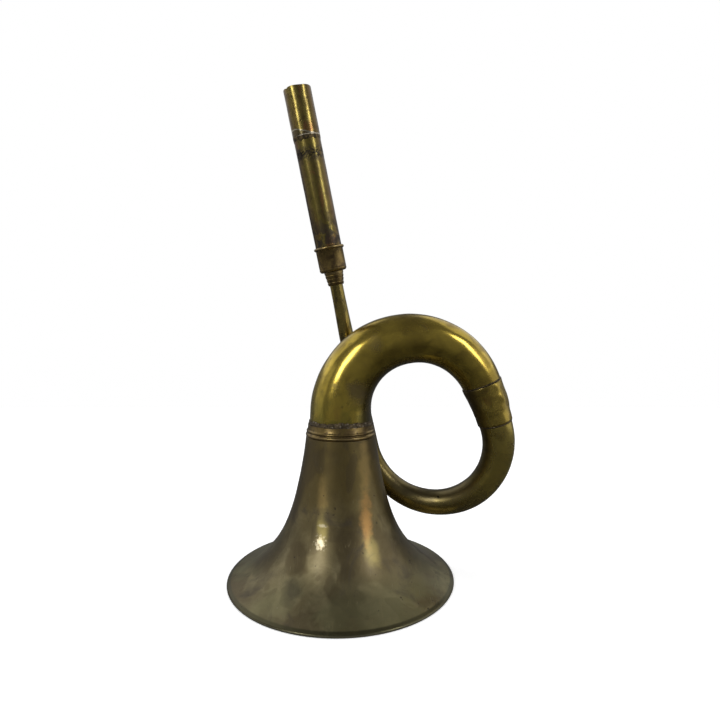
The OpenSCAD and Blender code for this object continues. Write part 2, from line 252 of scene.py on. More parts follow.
def bell_mesh():
    heights = [edge[1] + (bell_height - edge[1]) * (i / 60) ** 1.8 for i in range(61)]
    flat = math.degrees(math.acos(bead_at[1] / bead))
    outline = [flare_point(z, 0.0) for z in reversed(heights[1:])]
    outline += arc(bead_at, bead, edge_angle, -90 + flat, 14)
    outline += arc(bead_at, bead, -90 - flat, -210, 10)
    outline += arc(bead_at, bead - sheet, -210, edge_angle, 24)
    outline += [flare_point(z, sheet) for z in heights[1:]]
    bm = turned(outline, 224)

    def above_rim(vert):
        return min(1.0, max(0.0, (vert.co.z - 3 * MM) / (12 * MM)))

    knocked(bm, 0.22 * MM, 26 * MM, 3.0, above_rim)
    return knocked(bm, 0.05 * MM, 8 * MM, 8.0, above_rim)


def bell_patina():
    """Dull brown-grey tarnish, rubbed through to yellow and copper where hands have held it, with painted
    yellow highlights, a painted shadow and a painted highlight on the rolled edge.
    """
    metal = Finish("bell_patina", "object")
    broad = metal.clouds(16.0, 6.0, 0.55, 0.4)
    mottle = metal.clouds(70.0, 7.0, 0.62, 0.8)
    grain = metal.clouds(420.0, 4.0, 0.6)
    streaks = metal.clouds(1.0, 5.0, 0.6, at=metal.stretched((120.0, 120.0, 14.0)))
    tarnish = (broad * 0.55 + mottle * 0.45).between(0.36, 0.64)
    colour = metal.mixed(tarnish, (0.150, 0.125, 0.066), (0.325, 0.275, 0.150))
    height = metal.along("Z")
    upper = height.between(0.020, 0.080)
    colour = metal.mixed((upper * 0.7 + streaks * 0.35).held(), colour, (0.176, 0.128, 0.042))
    wiped = metal.clouds(30.0, 3.0, 0.45, 0.2, at=metal.stretched((1.0, 1.0, 0.75))).between(0.48, 0.56)
    colour = metal.mixed(wiped * 0.65, colour, (0.112, 0.083, 0.038))
    flaked = metal.clouds(75.0, 2.0, 0.4, 0.2, at=metal.stretched((1.0, 1.0, 0.6), shift=(0.2, 0.4, 0.1)))
    colour = metal.mixed(flaked.between(0.54, 0.60) * 0.5, colour, (0.115, 0.088, 0.044))
    # painted highlights: two faint yellow streaks under the collar; and green round the rim
    painted_collar_highlights = metal.patch((0.0165, -0.0200, 0.082), (0.0058, 0.012, 0.034), 1.0)
    painted_collar_highlights = (painted_collar_highlights + metal.patch((-0.0115, -0.0290, 0.066), (0.0050, 0.012, 0.018), 1.0)).held()
    colour = metal.mixed(painted_collar_highlights * 0.7, colour, (0.33, 0.232, 0.082))
    green = (1.0 - height.between(0.004, 0.026)) * broad.between(0.42, 0.56)
    colour = metal.mixed(green * 0.55, colour, (0.225, 0.215, 0.105))
    # a copper streak, two painted yellow highlights, a painted shadow patch, and two spots that are rubbed
    # bright
    copper = metal.patch((0.0180, -0.030, 0.050), (0.0054, 0.013, 0.032), 1.3, 200.0)
    colour = metal.mixed(copper * 0.7, colour, (0.50, 0.27, 0.085))
    # painted highlights: two yellow patches, left and right on the flare
    yellow = metal.patch((-0.011, -0.036, 0.050), (0.0055, 0.010, 0.016), 1.0)
    yellow = (yellow + metal.patch((0.021, -0.035, 0.030), (0.008, 0.012, 0.018), 1.2) * 0.6).held()
    colour = metal.mixed(yellow * 0.65, colour, (0.47, 0.38, 0.125))
    shadowed = metal.patch((-0.029, -0.050, 0.014), (0.0085, 0.014, 0.012), 1.2)
    colour = metal.mixed(shadowed * 0.6, colour, (0.072, 0.064, 0.040))
    rubbed = metal.patch((-0.012, -0.0375, 0.0387), (0.0046, 0.006, 0.0052), 2.2, 600.0)
    rubbed = (rubbed + metal.patch((-0.0105, -0.0335, 0.0485), (0.0044, 0.004, 0.0014), 1.2, 700.0)).held()
    colour = metal.mixed(rubbed * 0.75, colour, (0.62, 0.54, 0.36))
    # stains, specks, scratches, and the rolled edge, with a painted highlight along its lower edge
    stains = metal.clouds(34.0, 5.0, 0.6, 1.2).between(0.56, 0.70)
    colour = metal.mixed(stains * 0.55, colour, (0.095, 0.080, 0.058))
    specks = metal.clouds(260.0, 2.0, 0.5).between(0.70, 0.76)
    colour = metal.mixed(specks * 0.7, colour, (0.05, 0.04, 0.03))
    marks = metal.scratches(420.0, 0.006, (0.3, 1.1, 0.2))
    colour = metal.mixed((marks * 0.3).held(), colour, (0.42, 0.36, 0.23))
    rolled = 1.0 - height.between(0.0026, 0.0031)
    colour = metal.mixed(rolled * 0.85, colour, (0.070, 0.064, 0.030))
    # painted highlight: a pale line along the lower edge of the roll
    lip = 1.0 - height.between(0.0013, 0.0017)
    colour = metal.mixed(lip * 0.7, colour, (0.36, 0.33, 0.21))
    rough = 0.30 + mottle * 0.16 + stains * 0.10 - rubbed * 0.10 + grain * 0.05 - rolled * 0.10
    relief = mottle * 0.5 + grain * 0.35 - marks * 0.4 - specks * 0.5
    return metal.surface(colour, rough, 0.92, relief, 0.00010, 0.12)


sheet_piece("bell_shell", bell_mesh(), "horn", "bell", bell_patina())

# ----------------------------------------
# Rim wire. Plain drawn steel, bent to a ring and closed inside the bell's rolled edge, which
# it stiffens. It keeps its own shape and only gets its surface here.
# ----------------------------------------


def drawn_steel():
    metal = Finish("drawn_steel", "object")
    rust = metal.clouds(300.0, 5.0, 0.6).between(0.45, 0.65)
    colour = metal.mixed(rust, (0.42, 0.41, 0.39), (0.20, 0.11, 0.06))
    return metal.surface(colour, 0.35 + rust * 0.4, 0.9, rust, 0.00005)


def refinish(node, material):
    """Gives a CAD node that keeps its own shape a better surface, through its object's slots."""
    shown = frame["nodes"][node]
    for held in shown.material_slots:
        held.link = "OBJECT"
        held.material = material


refinish("rim_wire", drawn_steel())

# ----------------------------------------
# Throat ferrule. A turned brass collar with two beads: its spigot drops into the bell's throat
# and its bore takes the main bend. Soft solder was run round its top edge and left rough.
# ----------------------------------------

main_radius = 22.5 * MM
spigot_length = 4 * MM
spigot_radius = throat_radius - 0.65 * MM
collar_length = 8.6 * MM


def ferrule_mesh():
    base = bell_height
    bore = main_radius + 0.05 * MM
    outline = [(bore, base - spigot_length), (spigot_radius, base - spigot_length)]
    outline += [(spigot_radius, base), (throat_radius - 0.1 * MM, base + 0.05 * MM)]
    outline += arc((throat_radius - 1.0 * MM, base + 1.4 * MM), 1.3 * MM, -62, 66, 10)
    outline += arc((throat_radius - 1.5 * MM, base + 4.0 * MM), 1.2 * MM, -50, 62, 9)
    outline += [(throat_radius - 1.25 * MM, base + 5.6 * MM), (throat_radius - 1.45 * MM, base + 8.2 * MM)]
    outline += [(throat_radius - 1.6 * MM, base + collar_length), (bore, base + collar_length)]
    return knocked(turned(outline, 160), 0.10 * MM, 7 * MM, 5.0)


def dark_brass(name, crest, warm=1.0):
    """Brown tarnish on turned fittings, with yellow metal showing where beads stand out past crest."""
    metal = Finish(name, "unbent")
    mottle = metal.clouds(150.0, 6.0, 0.6, 0.6)
    grain = metal.clouds(900.0, 3.0, 0.6)
    rings = metal.clouds(1.0, 3.0, 0.5, at=metal.stretched((40.0, 40.0, 1600.0)))
    tarnish = mottle.between(0.38, 0.66)
    colour = metal.mixed(tarnish, (0.215 * warm, 0.150 * warm, 0.050 * warm), (0.105, 0.070, 0.030))
    flat = metal.node("VectorMath", {0: metal.place, 1: (1.0, 1.0, 0.0)}, operation="MULTIPLY")
    outwards = metal.node("VectorMath", {0: flat}, out="Value", operation="LENGTH")
    rubbed = outwards.between(crest, crest + 0.5 * MM) * mottle.between(0.35, 0.5)
    colour = metal.mixed(rubbed * 0.45, colour, (0.42, 0.31, 0.14))
    dirt = metal.clouds(320.0, 4.0, 0.65).between(0.60, 0.72)
    colour = metal.mixed(dirt * 0.7, colour, (0.035, 0.028, 0.018))
    rough = 0.30 + tarnish * 0.16 + dirt * 0.2
    return metal.surface(colour, rough, 0.95, rings * 0.25 + grain * 0.15 - dirt, 0.00005, 0.15)


def rough_solder(name, bright):
    """Soft solder that ran and froze: dark and pitted, with small flecks that show bright metal."""
    metal = Finish(name, "unbent")
    lumps = metal.clouds(420.0, 5.0, 0.6, 0.6)
    flecks = metal.clouds(560.0, 3.0, 0.55).between(0.60, 0.68)
    colour = metal.mixed(lumps.between(0.35, 0.65), (0.040, 0.030, 0.018), (0.125, 0.092, 0.050))
    colour = metal.mixed(flecks * bright, colour, (0.60, 0.54, 0.42))
    return metal.surface(colour, 0.50 - flecks * 0.25, 0.85, lumps, 0.00025)


def throat_solder_mesh():
    base = bell_height + collar_length + 0.05 * MM
    inner = main_radius - 0.45 * MM
    outline = [(inner, base), (inner + 1.05 * MM, base)]
    outline += arc((inner + 0.2 * MM, base + 0.4 * MM), 0.85 * MM, 15, 65, 4)
    outline += [(inner + 0.5 * MM, base + 2.3 * MM), (inner, base + 2.7 * MM)]
    bm = turned(outline, 220)
    for vert in bm.verts:
        above = max(0.0, vert.co.z - base - 0.5 * MM) / (2.2 * MM)
        ragged = noise.noise(vert.co * Vector((1, 1, 0)) / (5 * MM))
        ragged += 0.5 * noise.noise(vert.co / (1.6 * MM))
        vert.co.z += 1.3 * MM * above * ragged
    return knocked(bm, 0.30 * MM, 4.5 * MM, 2.0)


solder = rough_solder("soft_solder", 0.40)
collar_brass = dark_brass("collar_brass", throat_radius - 0.15 * MM)
sheet_piece("throat_collar", ferrule_mesh(), "horn", "throat_ferrule", collar_brass)
sheet_piece("throat_solder_run", throat_solder_mesh(), "horn", "throat_solder", solder, 75.0)

# ----------------------------------------
# Main bend. A wide brass tube, drawn on a taper and bent through about 160 degrees over a
# filling of pitch. It is the part that hands hold, so its gold-olive skin is the brightest.
# ----------------------------------------

tube_wall = 0.8 * MM
bend_radius = 51.5 * MM
bend_base = 118.5 * MM
bend_left = math.radians(21.6)
small_radius = 13.75 * MM


def straight(place, length, steps):
    """Places along a straight run that carries on from place, whose +Z is the way it runs."""
    return [place @ Matrix.Translation((0, 0, length * i / steps)) for i in range(1, steps + 1)]


def bent(place, radius, turn, steps):
    """Places round an arc that turns towards place's own +X."""
    out, back = Matrix.Translation((radius, 0, 0)), Matrix.Translation((-radius, 0, 0))
    return [place @ out @ Matrix.Rotation(turn * i / steps, 4, "Y") @ back for i in range(1, steps + 1)]


def drawn_tube(places, radius_at, sides=112):
    """Draws a round skin through places: each ring is pulled out of the last one, turned and narrowed.
    The unbent layer keeps each point as it was on the straight tube before bending."""
    bm = bmesh.new()
    unbent = bm.verts.layers.float_vector.new("unbent")
    run = 0.0
    here, radius = places[0], radius_at(0.0)
    ring = bmesh.ops.create_circle(bm, segments=sides, radius=radius, matrix=here)["verts"]
    edges = bm.edges[:]
    for vert in ring:
        flat = here.inverted() @ vert.co
        vert[unbent] = (flat.x, flat.y, 0.0)
    for there in places[1:]:
        run += (there.translation - here.translation).length
        ratio = radius_at(run) / radius
        fresh = bmesh.ops.extrude_edge_only(bm, edges=edges)["geom"]
        verts = [part for part in fresh if isinstance(part, bmesh.types.BMVert)]
        pulled = set(verts)
        edges = [p for p in fresh if isinstance(p, bmesh.types.BMEdge) and set(p.verts) <= pulled]
        step = there @ Matrix.Diagonal((ratio, ratio, 1, 1)) @ here.inverted()
        bmesh.ops.transform(bm, matrix=step, verts=verts)
        back = there.inverted()
        for vert in verts:
            flat = back @ vert.co
            vert[unbent] = (flat.x, flat.y, run)
        here, radius = there, radius_at(run)
    bmesh.ops.recalc_face_normals(bm, faces=bm.faces)
    middle = places[len(places) // 2]
    probe = min(bm.faces, key=lambda face: (face.calc_center_median() - middle.translation).length)
    if probe.normal.dot(probe.calc_center_median() - middle.translation) < 0:
        bmesh.ops.reverse_faces(bm, faces=bm.faces)
    return bm


def walled(piece, thickness):
    """Gives a tube's skin its wall, inwards."""
    wall = piece.modifiers.new("wall", "SOLIDIFY")
    wall.thickness = thickness
    wall.offset = -1.0
    wall.use_even_offset = True
    wall.use_rim = True
    return piece


bend_start = Matrix.Translation((0, 0, bell_height - spigot_length))
riser = straight(bend_start, bend_base - bend_start.translation.z, 8)
main_arc = bent(riser[-1], bend_radius, math.pi - bend_left, 84)
bend_end = main_arc[-1]
main_places = [bend_start] + riser + main_arc
main_length = bend_base - bell_height + bend_radius * (math.pi - bend_left)


def main_radius_at(run):
    share = min(1.0, max(0.0, run - spigot_length) / main_length)
    return main_radius + (small_radius - main_radius) * share


def main_bend_mesh():
    bm = drawn_tube(main_places + straight(bend_end, 5 * MM, 2), main_radius_at)
    knocked(bm, 0.30 * MM, 30 * MM, 1.0)
    return knocked(bm, 0.10 * MM, 9 * MM, 4.0)


def gold_olive():
    """Golden brass under a thin olive lacquer, with copper stains and painted shade on the inside of the
    curve.
    """
    metal = Finish("gold_olive", "unbent")
    broad = metal.clouds(22.0, 6.0, 0.55, 0.5)
    mottle = metal.clouds(95.0, 3.0, 0.5, 0.5)
    drawn = metal.clouds(1.0, 3.0, 0.5, at=metal.stretched((500.0, 500.0, 20.0)))
    tarnish = (broad * 0.5 + mottle * 0.5).between(0.40, 0.66)
    colour = metal.mixed(tarnish, (0.52, 0.380, 0.062), (0.270, 0.190, 0.034))
    run = metal.along("Z")
    inward = metal.along("X")
    other = metal.stretched((1.0, 1.0, 0.6), shift=(0.3, 0.1, 0.2))
    copper = metal.clouds(30.0, 5.0, 0.6, 1.0, at=other).between(0.55, 0.72)
    colour = metal.mixed(copper * 0.5, colour, (0.36, 0.190, 0.048))
    green = (1.0 - run.between(0.014, 0.045)) * mottle.between(0.35, 0.6)
    colour = metal.mixed(green * 0.45, colour, (0.245, 0.235, 0.045))
    shade = inward.between(0.008, 0.019)
    colour = metal.mixed(shade * 0.85, colour, (0.060, 0.048, 0.022))
    worn = metal.patch((0.010, -0.018, 0.040), (0.012, 0.010, 0.013), 1.2)
    worn = (worn + metal.patch((-0.004, -0.020, 0.075), (0.008, 0.010, 0.006), 1.4) * 0.6).held()
    colour = metal.mixed(worn * 0.65, colour, (0.185, 0.140, 0.085))
    stains = metal.clouds(60.0, 5.0, 0.62, 1.4).between(0.60, 0.70)
    colour = metal.mixed(stains * 0.5, colour, (0.10, 0.075, 0.030))
    specks = metal.clouds(380.0, 2.0, 0.5).between(0.70, 0.75)
    colour = metal.mixed(specks * 0.6, colour, (0.04, 0.03, 0.02))
    foot = 1.0 - run.between(0.013, 0.0175)
    colour = metal.mixed(foot * 0.6, colour, (0.07, 0.055, 0.03))
    rough = 0.18 + tarnish * 0.09 + shade * 0.08 + stains * 0.1 + foot * 0.2 + worn * 0.12
    height = drawn * 0.03 + metal.clouds(70.0, 1.0, 0.4) * 0.9 - specks * 0.06
    return metal.surface(colour, rough, 0.96, height, 0.00009, 0.15)


main_bend = sheet_piece("main_bend_tube", main_bend_mesh(), "horn", "main_bend", gold_olive())
walled(main_bend, tube_wall)

# ----------------------------------------
# Joint sleeve. A short tapered sleeve of sheet brass that was hammered down over both tubes and
# soldered at both ends, so it is lumpy and a little wider than either of them.
# ----------------------------------------

mouth = next(mount for mount in frame["record"]["mounts"] if mount["name"] == "mouth_outside")
lead_dir = Vector(mouth["axis"]).normalized()
mouth_top = Vector(mouth["pos_m"]) + lead_dir * (mouth["dims"]["length_mm"] * MM / 2)
mouth_station = 178.95 * MM    # from the foot of the lead pipe's line up to the mouth
lead_at = mouth_top - lead_dir * mouth_station
joint_length = 22.0 * MM
sleeve_wall = 0.5 * MM
sleeve_overlap = 6.2 * MM    # how far the sleeve runs on over the tail pipe
tail_radius = 11.8 * MM
tail_turn = math.radians(5.8)


def placed(point, run, inward):
    """A place at point whose +Z is the way the tube runs and whose +X leans inward."""
    z = run.normalized()
    x = (inward - inward.dot(z) * z).normalized()
    rows = (x, z.cross(x), z)
    return Matrix.Translation(point) @ Matrix(rows).transposed().to_4x4()


bend_dir = bend_end.to_3x3() @ Vector((0, 0, 1))
bend_in = bend_end.to_3x3() @ Vector((1, 0, 0))
tail_start = bend_end.translation + bend_dir * joint_length
across = (tail_start - lead_at) - (tail_start - lead_at).dot(lead_dir) * lead_dir
across.normalize()
tail_dir = across * math.sin(tail_turn) - lead_dir * math.cos(tail_turn)
tail_in = -across * math.cos(tail_turn) - lead_dir * math.sin(tail_turn)
tail_first = placed(tail_start, tail_dir, tail_in)


def joint_point(t):
    """Point of the smooth line that leaves the bend and meets the tail along their own ways."""
    leave = (2 * t**3 - 3 * t**2 + 1) * bend_end.translation
    meet = (3 * t**2 - 2 * t**3) * tail_start
    ways = (t**3 - 2 * t**2 + t) * bend_dir + (t**3 - t**2) * tail_dir
    return leave + meet + ways * joint_length


def joint_places():
    steps = 26
    places = []
    for i in range(steps + 1):
        t = i / steps
        run = joint_point(min(1.0, t + 0.01)) - joint_point(max(0.0, t - 0.01))
        places.append(placed(joint_point(t), run, bend_in))
    for place in straight(tail_first, sleeve_overlap, 7):
        places.append(placed(place.translation, tail_dir, bend_in))
    return places


def sleeve_radius_at(run):
    share = min(1.0, run / joint_length)
    return small_radius + 0.62 * MM + (tail_radius - small_radius - 0.15 * MM) * share


def joint_sleeve_mesh():
    bm = drawn_tube(joint_places(), sleeve_radius_at, 120)
    unbent = bm.verts.layers.float_vector["unbent"]
    bm.normal_update()
    # lumps: run along the sleeve, angle from its inner side, height and width, in mm and degrees
    lumps = ((4.0, -122, 0.60, 3.0), (11, -128, 0.95, 3.4), (13.5, 180, 0.80, 5), (20.5, -5, 0.85, 4.5))
    lumps += ((17.5, -62, 0.45, 4), (8.5, -68, -0.45, 5), (6, 60, 0.5, 5), (16, 110, 0.6, 5))
    lumps += ((27, -110, 0.3, 3),)
    moves = []
    for vert in bm.verts:
        flat = vert[unbent]
        move = 0.0
        for run, angle, height, width in lumps:
            turn = math.radians(angle)
            middle = Vector((14 * math.cos(turn), 14 * math.sin(turn), run)) * MM
            move += height * MM * math.exp(-((flat - middle).length / (width * MM)) ** 2)
        moves.append(vert.normal * move)
    for vert, move in zip(bm.verts, moves):
        vert.co += move
    return knocked(bm, 0.22 * MM, 5.0 * MM, 2.5)


def hammered_brass():
    """Sheet brass with solder smeared over it: golden brown on the lumps, dark with dirt in places, and
    painted shade, near black, on the side that faces into the coil.
    """
    metal = Finish("hammered_brass", "unbent")
    mottle = metal.clouds(150.0, 3.0, 0.5, 0.5)
    broad = metal.clouds(60.0, 4.0, 0.5)
    tarnish = (mottle * 0.6 + broad * 0.4).between(0.40, 0.62)
    colour = metal.mixed(tarnish, (0.44, 0.320, 0.062), (0.250, 0.178, 0.036))
    copper = metal.clouds(80.0, 4.0, 0.6, 0.6).between(0.56, 0.70)
    colour = metal.mixed(copper * 0.35, colour, (0.34, 0.175, 0.045))
    # painted shade: the side of the sleeve that faces into the coil goes near black
    inward = metal.along("X").between(0.004, 0.012)
    colour = metal.mixed(inward * 0.8, colour, (0.045, 0.036, 0.020))
    join = 1.0 - metal.along("Z").between(0.0003, 0.0011)
    colour = metal.mixed(join * 0.6, colour, (0.060, 0.045, 0.022))
    dirt = metal.clouds(200.0, 5.0, 0.6, 0.8).between(0.60, 0.72)
    colour = metal.mixed(dirt * 0.5, colour, (0.06, 0.046, 0.025))
    rough = 0.24 + tarnish * 0.14 + dirt * 0.2 + inward * 0.1
    return metal.surface(colour, rough, 0.94, metal.clouds(150.0, 1.0, 0.4) - dirt * 0.15, 0.00010, 0.15)


sleeve_skin = hammered_brass()
sleeve_bm = joint_sleeve_mesh()
sleeve = sheet_piece("joint_sleeve_shell", sleeve_bm, "horn", "joint_sleeve", sleeve_skin)
walled(sleeve, sleeve_wall)


def solder_bead(place, radius, width, seed):
    """A rough ring of solder round a tube, square to it."""
    outline = [(radius, -width / 2), (radius + 0.15 * MM, -width / 2)]
    outline += arc((radius - 0.1 * MM, 0.0), 0.52 * MM, -40, 40, 4)
    outline += [(radius + 0.15 * MM, width / 2), (radius, width / 2)]
    bm = turned(outline, 150, place)
    return knocked(bm, 0.22 * MM, 3.2 * MM, seed)


def joint_solder_mesh():
    upper = bend_end @ Matrix.Translation((0, 0, -0.5 * MM))
    bm = solder_bead(upper, small_radius + 0.02 * MM, 1.1 * MM, 1.0)
    lower = tail_first @ Matrix.Translation((0, 0, 6.8 * MM))
    other = solder_bead(lower, tail_radius - 0.18 * MM, 1.1 * MM, 4.0)
    extra = bpy.data.meshes.new("lower_solder")
    other.to_mesh(extra)
    other.free()
    bm.from_mesh(extra)
    bpy.data.meshes.remove(extra)
    return bm


dull_solder = rough_solder("dull_solder", 0.12)
sheet_piece("joint_solder_rings", joint_solder_mesh(), "horn", "joint_solder", dull_solder, 75.0)

# ----------------------------------------
# Tail pipe and lead pipe. One tapered tube, drawn down from 24 to 10 mm, that makes the lower
# half of the coil, passes behind the bell's throat and rises to the mouth tube.
# ----------------------------------------

lead_radius = 4.85 * MM
outer_radius = 51.6 * MM
outer_turn = math.radians(77.2)
tail_straight = 9.4 * MM
lead_length = 40.0 * MM
lead_in = 5.8 * MM         # how far the pipe goes up inside the nipple
tail_overlap = 5 * MM      # how far it goes back inside the joint sleeve
even_length = 16 * MM      # its last stretch, which doesn't taper

first_run = straight(tail_first, tail_straight, 4)
outer_arc = bent(first_run[-1], outer_radius, outer_turn, 40)
mid_angle = -math.pi / 2 + tail_turn - outer_turn
from_lead = (outer_arc[-1].translation - lead_at).dot(across)
inner_radius = from_lead / (1 - math.sin(mid_angle))
inner_arc = bent(outer_arc[-1], inner_radius, 1.5 * math.pi + mid_angle, 56)
rise = lead_length + lead_in - (inner_arc[-1].translation - lead_at).dot(lead_dir)
last_run = straight(inner_arc[-1], rise, 24)
tail_places = [tail_first @ Matrix.Translation((0, 0, -tail_overlap)), tail_first]
tail_places += first_run + outer_arc + inner_arc + last_run
taper_length = tail_straight + outer_radius * outer_turn + inner_radius * (1.5 * math.pi + mid_angle)
taper_length += rise - even_length

# a corroded pinhole on the inner side of the lower curve, on the tube as it was before bending
pinhole = Vector((7.1, -6.4, 98.7)) * MM
pinhole_size = 0.45 * MM
pinhole_depth = 0.5 * MM


def tail_radius_at(run):
    share = min(1.0, max(0.0, run - tail_overlap) / taper_length)
    return tail_radius + (lead_radius - tail_radius) * share


def tail_mesh():
    bm = drawn_tube(tail_places, tail_radius_at, 72)
    unbent = bm.verts.layers.float_vector["unbent"]

    def below_nipple(vert):
        return min(1.0, max(0.0, (taper_length + tail_overlap - vert[unbent].z) / (30 * MM)))

    knocked(bm, 0.22 * MM, 22 * MM, 7.0, below_nipple)
    knocked(bm, 0.07 * MM, 7 * MM, 3.0, below_nipple)
    pitted = min(bm.verts, key=lambda vert: (vert[unbent] - pinhole).length)
    bmesh.ops.bevel(
        bm, geom=[pitted], offset=pinhole_size, affect="VERTICES", segments=2, profile=0.5, material=-1
    )
    pitted = min(bm.faces, key=lambda face: max((vert[unbent] - pinhole).length for vert in face.verts))
    bmesh.ops.translate(bm, verts=pitted.verts, vec=pitted.normal * -pinhole_depth)
    return bm


def dark_olive():
    """Dark olive-brown tarnish, painted shade near black inside the curve, worn golden along the front."""
    metal = Finish("dark_olive", "unbent")
    broad = metal.clouds(26.0, 6.0, 0.55, 0.5)
    mottle = metal.clouds(110.0, 3.0, 0.5, 0.5)
    drawn = metal.clouds(1.0, 3.0, 0.5, at=metal.stretched((600.0, 600.0, 20.0)))
    tarnish = (broad * 0.5 + mottle * 0.5).between(0.38, 0.64)
    colour = metal.mixed(tarnish, (0.52, 0.400, 0.092), (0.270, 0.200, 0.052))
    inward = metal.along("X")
    run = metal.along("Z")
    thin = run.between(0.10, 0.24)
    colour = metal.mixed(thin * 0.55, colour, (0.150, 0.108, 0.032))
    shade = inward.between(0.0010, 0.0075) * (1.0 - thin)
    colour = metal.mixed(shade * 0.75, colour, (0.040, 0.031, 0.018))
    foot = run.between(0.050, 0.085) * (1.0 - run.between(0.130, 0.165))
    colour = metal.mixed(foot * 0.5, colour, (0.120, 0.098, 0.055))
    pitted = metal.patch(tuple(pinhole), (0.0013, 0.0013, 0.0013))
    colour = metal.mixed(pitted, colour, (0.004, 0.003, 0.002))
    stains = metal.clouds(70.0, 5.0, 0.62, 1.4).between(0.58, 0.70)
    colour = metal.mixed(stains * 0.5, colour, (0.07, 0.052, 0.026))
    copper = metal.clouds(45.0, 4.0, 0.6, 0.8).between(0.60, 0.72)
    colour = metal.mixed(copper * 0.35, colour, (0.42, 0.22, 0.07))
    blackened = metal.clouds(1.0, 4.0, 0.6, at=metal.stretched((170.0, 170.0, 70.0))).between(0.52, 0.60)
    colour = metal.mixed(blackened * thin * 0.6, colour, (0.040, 0.031, 0.018))
    specks = metal.clouds(420.0, 2.0, 0.5).between(0.70, 0.75)
    colour = metal.mixed(specks * 0.6, colour, (0.03, 0.025, 0.015))
    rough = 0.21 + tarnish * 0.10 + stains * 0.1 + shade * 0.08
    relief = drawn * 0.03 + metal.clouds(90.0, 1.0, 0.4) * 0.9 - specks * 0.06
    return metal.surface(colour, rough, 0.95, relief, 0.00008, 0.15)


tail = sheet_piece("tail_and_lead_pipe", tail_mesh(), "horn", "tail_pipe", dark_olive())
walled(tail, tube_wall)

# ----------------------------------------
# Nipple. Turned brass, ringed for grip, soldered over the top of the lead pipe. It widens up to
# the cup, and its stub passes through the cup's floor and makes the socket for the reed.
# ----------------------------------------

turn_to_lead = placed(Vector((0, 0, 0)), lead_dir, Vector((1, 0, 0)))
nipple_length = 10.0 * MM
nipple_small = 5.75 * MM
nipple_big = 7.2 * MM
cup_station = lead_length + nipple_length
stub_top = cup_station + 4.5 * MM
stub_radius = 4.85 * MM
socket_radius = 3.6 * MM


def on_lead(station):
    """The place at a station of the lead pipe's line, with +Z up along it."""
    return Matrix.Translation(lead_at + lead_dir * station) @ turn_to_lead


def nipple_mesh():
    def cone(height):
        return nipple_small + (nipple_big - nipple_small) * height / nipple_length

    outline = [(lead_radius + 0.05 * MM, 0.0), (cone(0.0) - 0.25 * MM, 0.0), (cone(0.2 * MM), 0.25 * MM)]
    for groove in (2.4 * MM, 5.0 * MM, 7.6 * MM):
        outline += reversed(arc((cone(groove) + 0.22 * MM, groove), 0.48 * MM, 115, 245, 8))
    outline += [(cone(9.7 * MM), 9.75 * MM), (cone(9.7 * MM) - 0.25 * MM, nipple_length)]
    stub, eased = stub_top - lead_length, 0.3 * MM
    outline += [(stub_radius, nipple_length), (stub_radius, stub - eased), (stub_radius - eased, stub)]
    outline += [(socket_radius, stub), (socket_radius, 6 * MM), (lead_radius + 0.05 * MM, 6 * MM)]
    return knocked(turned(outline, 96, on_lead(lead_length)), 0.04 * MM, 4 * MM, 2.0)


nipple_brass = dark_brass("nipple_brass", nipple_big - 0.6 * MM, 1.35)
sheet_piece("ringed_nipple", nipple_mesh(), "horn", "nipple", nipple_brass)

# ----------------------------------------
# Reed cup. Drawn sheet brass with a rounded foot, a fine line scribed above it, and its lip
# rolled out to a bead. The reed stands in it and the barrel's tenon pushes into it.
# ----------------------------------------

cup_length = 18.4 * MM
cup_radius = 10.0 * MM
cup_bead = 1.1 * MM
cup_bore = 8.8 * MM
cup_floor = 1.8 * MM


def cup_mesh():
    foot = 1.9 * MM
    outline = [(stub_radius + 0.05 * MM, 0.0)] + arc((cup_radius - foot, foot), foot, -90, 0, 8)
    outline += [(cup_radius, 2.6 * MM), (cup_radius - 0.18 * MM, 2.8 * MM), (cup_radius, 3.0 * MM)]
    lip = (cup_radius, cup_length - cup_bead)
    outline += [(cup_radius, cup_length - 2.6 * MM)] + arc(lip, cup_bead, -72, 90, 12)
    outline += [(cup_bore + 0.3 * MM, cup_length), (cup_bore, cup_length - 0.3 * MM)]
    outline += [(cup_bore, cup_floor + 0.8 * MM), (cup_bore - 0.8 * MM, cup_floor)]
    outline += [(stub_radius + 0.05 * MM, cup_floor)]
    return knocked(turned(outline, 120, on_lead(cup_station)), 0.06 * MM, 6 * MM, 4.0)


cup_brass = dark_brass("cup_brass", cup_radius + 0.55 * MM, 1.35)
sheet_piece("reed_cup_shell", cup_mesh(), "horn", "reed_cup", cup_brass)

# ----------------------------------------
# Reed. A turned foot and a half-round trough, closed by a springy bronze tongue that a stepped
# plate and two slotted screws hold at its root. It pushes into the nipple's socket.
# ----------------------------------------


def clean_brass():
    """Yellow brass that the barrel has kept out of the air: only lightly browned."""
    metal = Finish("clean_brass", "object")
    mottle = metal.clouds(260.0, 5.0, 0.6, 0.4)
    grain = metal.clouds(1400.0, 3.0, 0.6)
    colour = metal.mixed(mottle.between(0.35, 0.65), (0.72, 0.56, 0.24), (0.50, 0.37, 0.15))
    spots = metal.clouds(700.0, 3.0, 0.6).between(0.62, 0.70)
    colour = metal.mixed(spots * 0.6, colour, (0.20, 0.13, 0.06))
    return metal.surface(colour, 0.26 + mottle * 0.14, 0.97, grain * 0.5 - spots * 0.5, 0.00004)


def rolled_bronze():
    """Phosphor bronze strip, rolled hard, with fine lines along it."""
    metal = Finish("rolled_bronze", "object")
    lines = metal.clouds(1.0, 3.0, 0.6, at=metal.stretched((3000.0, 3000.0, 60.0)))
    colour = metal.mixed(lines.between(0.35, 0.65), (0.78, 0.56, 0.28), (0.58, 0.38, 0.17))
    return metal.surface(colour, 0.22 + lines * 0.15, 1.0, lines, 0.00003)


